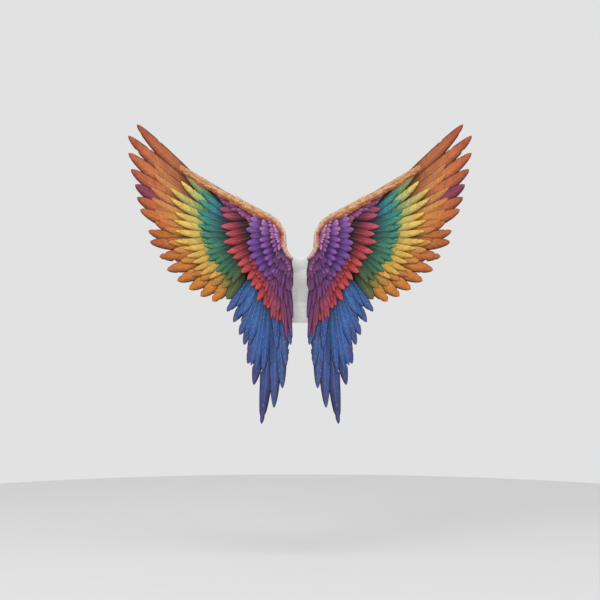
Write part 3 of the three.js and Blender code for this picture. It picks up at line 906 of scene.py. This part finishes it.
def buildBacking():
    rim = [tuple(loopPoint(backing["outline"], k / backing["points"])) for k in range(backing["points"])]
    spots = [Vector(p) for p in rim]
    step = backing["grid"]
    clear = step * backing["clearShare"]
    columns, levels = (range(low, high, step) for low, high in zip(backing["gridFrom"], backing["gridTo"]))
    for x in columns:
        for z in levels:
            if inside((x, z), rim) and min(math.hypot(x - a, z - b) for a, b in rim) > clear:
                spots.append(Vector((x + backing["gridShift"], z)))
    edges = [(k, (k + 1) % len(rim)) for k in range(len(rim))]
    flat, _, triangles, *_ = delaunay_2d_cdt(spots, edges, [], 1, 0.001)      # 1 keeps what the rim encloses
    area = sum(abs((flat[b] - flat[a]).cross(flat[c] - flat[a])) / 2 for a, b, c in triangles) * mm * mm
    loop = np.array(rim + rim[:1])
    inward = np.mean(rim, axis=0) - loop
    seams = [loop + inward / np.linalg.norm(inward, axis=1)[:, None] * backing["seam"]]
    seams += [casing for route in wireRoutes.values() for casing in casings(route)]
    acrossWave, upWave = backing["ripple"]
    ripple = [backing["slack"] * mm * math.sin(p.x / acrossWave) * math.sin(p.y / upWave) for p in flat]
    for sideName, side in sides.items():
        low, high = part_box(f"{sideName}_backing_panel")
        middle = (low.y + high.y) / 2
        points = [(side * p.x * mm, middle + rise, p.y * mm) for p, rise in zip(flat, ripple)]
        cloth = meshPiece(f"{sideName}_backing_cloth", points, triangles)
        settle(cloth, f"{sideName}_wing", "backing_fabric", f"{sideName}_backing_panel")
        hem = tube(f"{sideName}_backing_hem", rim + [rim[0]], backing["hem"], -middle, side)
        settle(hem, f"{sideName}_wing", "backing_fabric", finish=finishes["tape"])
        above = middle + backing["seamLift"] * mm
        lines = [[(side * x * mm, above, z * mm) for x, z in seam] for seam in seams]
        sewn(f"{sideName}_backing_stitching", lines, f"{sideName}_wing", "backing_fabric",
             finishes["wineThread"])


buildBacking()
print("wing backs ready")

# Shoulder straps: a ribbon along a route in Y and Z, with stitching where it is fixed
strap = {
    "middle": 57.5, "width": 25, "thickness": 1.6, "rear": -15.2, "low": 60, "high": 84, "lead": 25,
    "rise": 138, "reach": 122, "curl": 0.9, "shoulder": 0.8, "straight": 70,
    "bendSteps": 16, "straightSteps": 10,
    "seam": 2.2, "threadLift": -0.1, "sewnFrom": 30, "box": 18, "stitchStep": 4, "crossSteps": 8,
}


def bezier(a, b, c, d, count):
    for k in range(1, count + 1):
        t = k / count
        weights = ((1 - t) ** 3, 3 * t * (1 - t) ** 2, 3 * t * t * (1 - t), t ** 3)
        yield tuple(sum(w * p[i] for w, p in zip(weights, (a, b, c, d))) for i in (0, 1))


def strapRoute():
    rear, rise, reach, straight = (strap[key] for key in ("rear", "rise", "reach", "straight"))
    shoulder, bends, flats = strap["shoulder"], strap["bendSteps"], strap["straightSteps"]
    half = [(rear, strap["low"]), (rear, (strap["low"] + strap["high"]) / 2), (rear, strap["high"])]
    top = (reach / 2, rise)
    half += bezier(half[-1], (rear, rise * strap["curl"]), (rear + strap["lead"], rise), top, bends)
    half += bezier(top, (reach * shoulder, rise), (reach, rise * shoulder), (reach, straight), bends)
    middle = [(reach, straight * (1 - k / flats)) for k in range(1, 2 * flats)]
    return half + middle + [(y, -z) for y, z in reversed(half)]


def onStrap(line, walk, at, across, face, side):
    # a point on the webbing's face: distance along it and sideways from its middle, in mm
    here, ahead, behind = (pointAt(line, walk, spot) for spot in (at, at + 1, at - 1))
    heading = (ahead - behind) / np.linalg.norm(ahead - behind)
    spot = here + np.array((-heading[1], heading[0])) * face * (strap["thickness"] / 2 + strap["threadLift"])
    return (side * strap["middle"] + across) * mm, spot[0] * mm, spot[1] * mm


def strapStitches(route, side):
    line = np.array(route)
    walk = walked(line)
    reach = strap["width"] / 2 - strap["seam"]
    first, last = strap["sewnFrom"], walk[-1] - strap["sewnFrom"]
    box, steps = strap["box"], strap["crossSteps"]
    lines = []
    for face in (-1, 1):
        for across in (-reach, reach):
            spots = np.arange(first, last, strap["stitchStep"])
            lines.append([onStrap(line, walk, at, across, face, side) for at in spots])
        for low, high in ((first, first + box), (last - box, last)):      # boxed crosses by the anchors
            corners = [(low, -reach), (low, reach), (high, -reach), (high, reach), (low, -reach)]
            for (a, b), (c, d) in zip(corners, corners[1:]):
                spots = [(a + (c - a) * k / steps, b + (d - b) * k / steps) for k in range(steps + 1)]
                lines.append([onStrap(line, walk, at, across, face, side) for at, across in spots])
    return lines


def buildStraps():
    line = [np.array(p, float) for p in strapRoute()]
    halfWide, halfThick = strap["width"] / 2, strap["thickness"] / 2
    upper = [(-1, 0), (-0.96, 0.75), (-0.8, 1), (-0.4, 0.85), (0, 0.9), (0.4, 0.85), (0.8, 1), (0.96, 0.75)]
    section = upper + [(-across, -rise) for across, rise in upper]
    n = len(section)
    for sideName, side in sides.items():
        points = []
        for i, here in enumerate(line):
            heading = line[min(i + 1, len(line) - 1)] - line[max(i - 1, 0)]
            heading /= np.linalg.norm(heading)
            out = np.array((-heading[1], heading[0]))
            for across, rise in section:
                spot = here + out * rise * halfThick
                points.append(((side * strap["middle"] + across * halfWide) * mm, spot[0] * mm, spot[1] * mm))
        faces = ringFaces(0, len(line), n)
        faces += [tuple(range(n))[::-1], tuple(range((len(line) - 1) * n, len(line) * n))]
        ribbon = facingOut(meshPiece(f"{sideName}_shoulder_strap_webbing", points, faces))
        settle(ribbon, "harness", "webbing", f"{sideName}_shoulder_strap")
        stitches = strapStitches(line, side)
        sewn(f"{sideName}_strap_stitching", stitches, "harness", "webbing", finishes["thread"])


buildStraps()
print("straps ready")

# Back pad: a cloth skin blown up over the pad's block, then piped and quilted
pad = {
    "inset": 2.5 * mm, "corner": 10 * mm, "blockSteps": 6, "rimSteps": 8, "edge": 3 * mm, "edgeAngle": 50,
    "voxel": 5 * mm,
    "pressure": 4.0, "steps": 20, "cap": 3.5 * mm, "fill": 0.6,
    "channels": 3, "channelDepth": 3.2 * mm, "channelWidth": 4.5 * mm, "channelReach": 8 * mm,
    "seam": 8 * mm, "seamPoints": 40, "piping": 1.6 * mm, "pipingInset": 1 * mm, "pipingDepth": 3.4 * mm,
}


def roundedRim(low, high, inset, steps):
    # a rectangle with round corners in X and Z, drawn inside a box
    corner = pad["corner"]
    rim = []
    for cx, cz, start in ((1, 1, 0), (-1, 1, 90), (-1, -1, 180), (1, -1, 270)):
        for k in range(steps + 1):
            a = math.radians(start + 90 * k / steps)
            x = (high.x if cx > 0 else low.x) - cx * (inset + corner) + corner * math.cos(a)
            z = (high.z if cz > 0 else low.z) - cz * (inset + corner) + corner * math.sin(a)
            rim.append((x, z))
    return rim


def roundedBlock(name, low, high):
    rim = roundedRim(low, high, 0, pad["blockSteps"])
    n = len(rim)
    points = [(x, low.y, z) for x, z in rim] + [(x, high.y, z) for x, z in rim]
    faces = [tuple(range(n)), tuple(range(2 * n - 1, n - 1, -1))]
    faces += [(k, k + n, (k + 1) % n + n, (k + 1) % n) for k in range(n)]
    return bevelled(facingOut(meshPiece(name, points, faces)), pad["edge"], pad["edgeAngle"])


def inflate(skin):
    cloth = skin.modifiers.new("cloth", "CLOTH")
    cloth.settings.use_pressure = True
    cloth.settings.uniform_pressure_force = pad["pressure"]
    cloth.settings.effector_weights.gravity = 0
    for step in range(1, pad["steps"] + 1):
        scene.frame_set(step)
    applyModifiers(skin)
    scene.frame_set(1)


def padSkin(low, high):
    inset = Vector((pad["inset"], pad["inset"], pad["inset"]))
    skin = roundedBlock("back_pad_cushion", low + inset, high - inset)
    grid = skin.modifiers.new("grid", "REMESH")
    grid.mode = "VOXEL"
    grid.voxel_size = pad["voxel"]
    applyModifiers(skin)
    before = np.array([v.co for v in skin.data.vertices])
    inflate(skin)
    move = np.array([v.co for v in skin.data.vertices]) - before
    reach = np.linalg.norm(move, axis=1)[:, None]
    after = before + move * np.minimum(1, pad["cap"] / np.maximum(reach, 1e-9))
    skin.data.vertices.foreach_set("co", after.ravel())
    smooth = skin.modifiers.new("smooth", "SUBSURF")
    smooth.levels = 1
    return applyModifiers(skin)


def buildPad():
    low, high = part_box("back_pad")
    skin = padSkin(low, high)
    channels = [low.z + (high.z - low.z) * (k + 1) / (pad["channels"] + 1) for k in range(pad["channels"])]
    for vertex in skin.data.vertices:      # sewn channels across the wearer's face
        for level in channels:
            near = math.exp(-((vertex.co.z - level) / pad["channelWidth"]) ** 2)
            if vertex.co.y > high.y - pad["channelReach"]:
                vertex.co.y -= pad["channelDepth"] * near
    settle(skin, "harness", "pad_fabric", "back_pad")
    seam = roundedRim(low, high, pad["seam"], pad["rimSteps"])
    across = np.linspace(low.x + pad["seam"], high.x - pad["seam"], pad["seamPoints"])
    seams = [seam + seam[:1]] + [[(x, level) for x in across] for level in channels]
    lines = [laidOn(skin.data, line, high.y) for line in seams]
    sewn("back_pad_stitching", lines, "harness", "pad_fabric", finishes["thread"])
    rim = [(x / mm, z / mm) for x, z in roundedRim(low, high, pad["pipingInset"], pad["rimSteps"])]
    piping = tube("back_pad_piping", rim + rim[:1], pad["piping"] / mm, pad["pipingDepth"] - high.y, 1)
    settle(piping, "harness", "pad_fabric")


buildPad()
print("pad ready")

# Room, lights and camera
studio = {
    "floor": -0.75, "floorRadius": 2.2, "floorSides": 96, "paper": ("d8d8d8", "d4d4d4"),
    "room": (0.76, 0.76, 0.765, 1), "frameWidth": 1.692, "lens": 100.0, "aimHeight": -28 * mm,
    "lights": {      # place, size and power
        "keyLight": ((-1.9, -3.2, 2.4), 2.0, 46),
        "fillLight": ((2.4, -3.0, 0.8), 2.6, 14),
        "backLight": ((0.0, -1.0, 2.8), 2.0, 26),
    },
}


def buildFloor():
    rim = [(x, y, studio["floor"]) for x, y in circle(studio["floorRadius"], studio["floorSides"])]
    paper = meshPiece("paper_floor", rim, [tuple(range(len(rim)))])
    f = Finish("palePaper", 0.9)
    mottle = f.noise(f.node("ShaderNodeTexCoord", {}, {}, 3), 9.0)
    f.set("Base Color", f.blend(mottle * 0.5, *(rgba(colour) for colour in studio["paper"])))
    paper.data.materials.append(f.material)


def buildLights():
    for name, (where, size, power) in studio["lights"].items():
        light = bpy.data.lights.new(name, "AREA")
        light.shape = "DISK"
        light.size = size
        light.energy = power
        lamp = bpy.data.objects.new(name, light)
        lamp.location = where
        lamp.rotation_euler = (-Vector(where)).to_track_quat("-Z", "Y").to_euler()
        scene.collection.objects.link(lamp)
    world = bpy.data.worlds.new("softRoom")
    world.use_nodes = True
    world.node_tree.nodes["Background"].inputs["Color"].default_value = studio["room"]
    world.node_tree.nodes["Background"].inputs["Strength"].default_value = 1.0
    scene.world = world


def buildCamera():
    view = bpy.data.cameras.new("frontCamera")
    view.lens = studio["lens"]
    camera = bpy.data.objects.new("frontCamera", view)
    distance = studio["frameWidth"] * view.lens / view.sensor_width
    camera.location = (0, -distance, studio["aimHeight"])
    camera.rotation_euler = (math.radians(90), 0, 0)
    scene.collection.objects.link(camera)
    scene.camera = camera


buildFloor()
buildLights()
buildCamera()
scene.view_settings.view_transform = "Standard"
print("studio ready")
